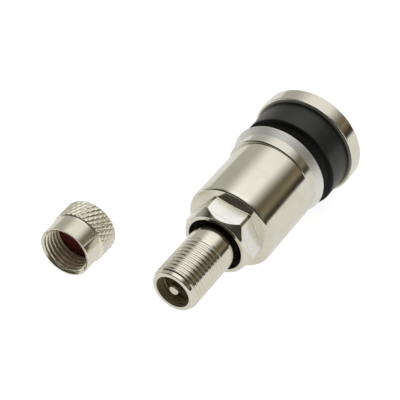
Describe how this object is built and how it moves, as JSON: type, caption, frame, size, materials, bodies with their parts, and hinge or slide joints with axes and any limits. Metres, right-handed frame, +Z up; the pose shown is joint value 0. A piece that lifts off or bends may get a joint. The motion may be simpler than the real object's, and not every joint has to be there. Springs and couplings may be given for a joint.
{
  "type": "tyre valve",
  "caption": "Clamp-in tyre valve: threaded metal stem with head, rubber grommet, washer, hexagon sleeve nut and spring core, with its knurled cap off beside it.",
  "frame": {"origin": "Middle of the underside of the whole box, on the table that the valve and its cap lie on.", "axes": "+Z up from the table, -Y the way the valve's tip points (falling with the rest tilt), +X from the cap to the valve."},
  "size_m": [0.0344, 0.0426, 0.0186],
  "materials": {
    "plated_stem": "bright nickel plate on turned brass",
    "plated_nut": "bright nickel plate on turned brass",
    "plated_washer": "bright nickel plate, satin on the sloping rim",
    "plated_cap": "bright nickel plate on knurled brass",
    "grommet_rubber": "smooth black moulded rubber with a soft sheen",
    "core_brass": "plain machined brass",
    "core_seal": "red sealing plastic",
    "core_rubber": "black rubber",
    "spring_steel": "drawn spring wire",
    "cap_rubber": "dark red soft gasket"
  },
  "bodies": {
    "valve": {"valve_stem": "plated_stem", "rim_grommet": "grommet_rubber", "cap_shell": "plated_cap", "cap_gasket": "cap_rubber"},
    "washer": {"clamp_washer": "plated_washer"},
    "nut": {"sleeve_nut": "plated_nut"},
    "core": {"core_barrel": "core_brass", "core_gasket": "core_seal", "core_spring": "spring_steel"},
    "plug": {"core_plug": "core_brass"},
    "pin": {"core_pin": "core_brass", "core_cup": "core_brass", "cup_seal": "core_rubber"}
  },
  "joints": [
    {"name": "nut_travel", "type": "slide", "parent": "valve", "child": "washer", "axis": [0, -0.9969, -0.0783], "range_m": [-0.0005, 0.006]},
    {"name": "nut_turn", "type": "hinge", "parent": "washer", "child": "nut", "pos_m": [0.00797, -0.00917, 0.00708], "axis": [0, -0.9969, -0.0783], "range_deg": [-181, 2161]},
    {"name": "core_travel", "type": "slide", "parent": "valve", "child": "core", "axis": [0, -0.9969, -0.0783], "range_m": [0, 0.00494]},
    {"name": "core_turn", "type": "hinge", "parent": "core", "child": "plug", "pos_m": [0.00797, -0.02078, 0.00617], "axis": [0, -0.9969, -0.0783], "range_deg": [-1, 2521]},
    {"name": "pin_press", "type": "slide", "parent": "core", "child": "pin", "axis": [0, 0.9969, 0.0783], "range_m": [0, 0.0012], "stiffness_N_per_m": 1500, "springref_m": -0.0015, "deforming": ["core_spring"]}
  ],
  "couplings": [
    {"joint": "nut_turn", "follows": "nut_travel", "rad_per_m": 6283.2},
    {"joint": "core_turn", "follows": "core_travel", "rad_per_m": 8905.3}
  ]
}
